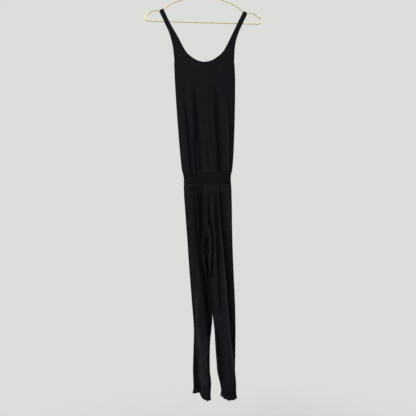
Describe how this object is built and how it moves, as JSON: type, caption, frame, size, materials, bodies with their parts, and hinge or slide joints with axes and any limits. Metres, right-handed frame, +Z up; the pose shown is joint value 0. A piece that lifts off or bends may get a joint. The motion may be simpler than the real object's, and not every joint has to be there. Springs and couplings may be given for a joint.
{
  "type": "jumpsuit on a wire hanger",
  "caption": "Sleeveless knit jumpsuit with thin straps, a scoop neck, waistband, slim trousers and cuffs, hanging on a thin gold wire hanger.",
  "frame": {"origin": "inner top of the hanger's hook, where a rail or nail carries it", "axes": "+X to the right of the garment's front view, -Y out of the garment's front, +Z up"},
  "size_m": [0.433, 0.0483, 1.5936],
  "materials": {
    "black_knit": "fine-gauge plain knit, black, soft matte with a faint sheen",
    "black_rib": "denser double knit, black, matte",
    "gold_wire": "pale gold plated steel wire, satin"
  },
  "bodies": {
    "root": {"hanger": "gold_wire", "bodice_front": "black_knit", "bodice_back": "black_knit", "waistband": "black_rib", "leg_left_front": "black_knit", "leg_left_back": "black_knit", "leg_right_front": "black_knit", "leg_right_back": "black_knit", "cuff_left": "black_rib", "cuff_right": "black_rib"}
  },
  "joints": []
}
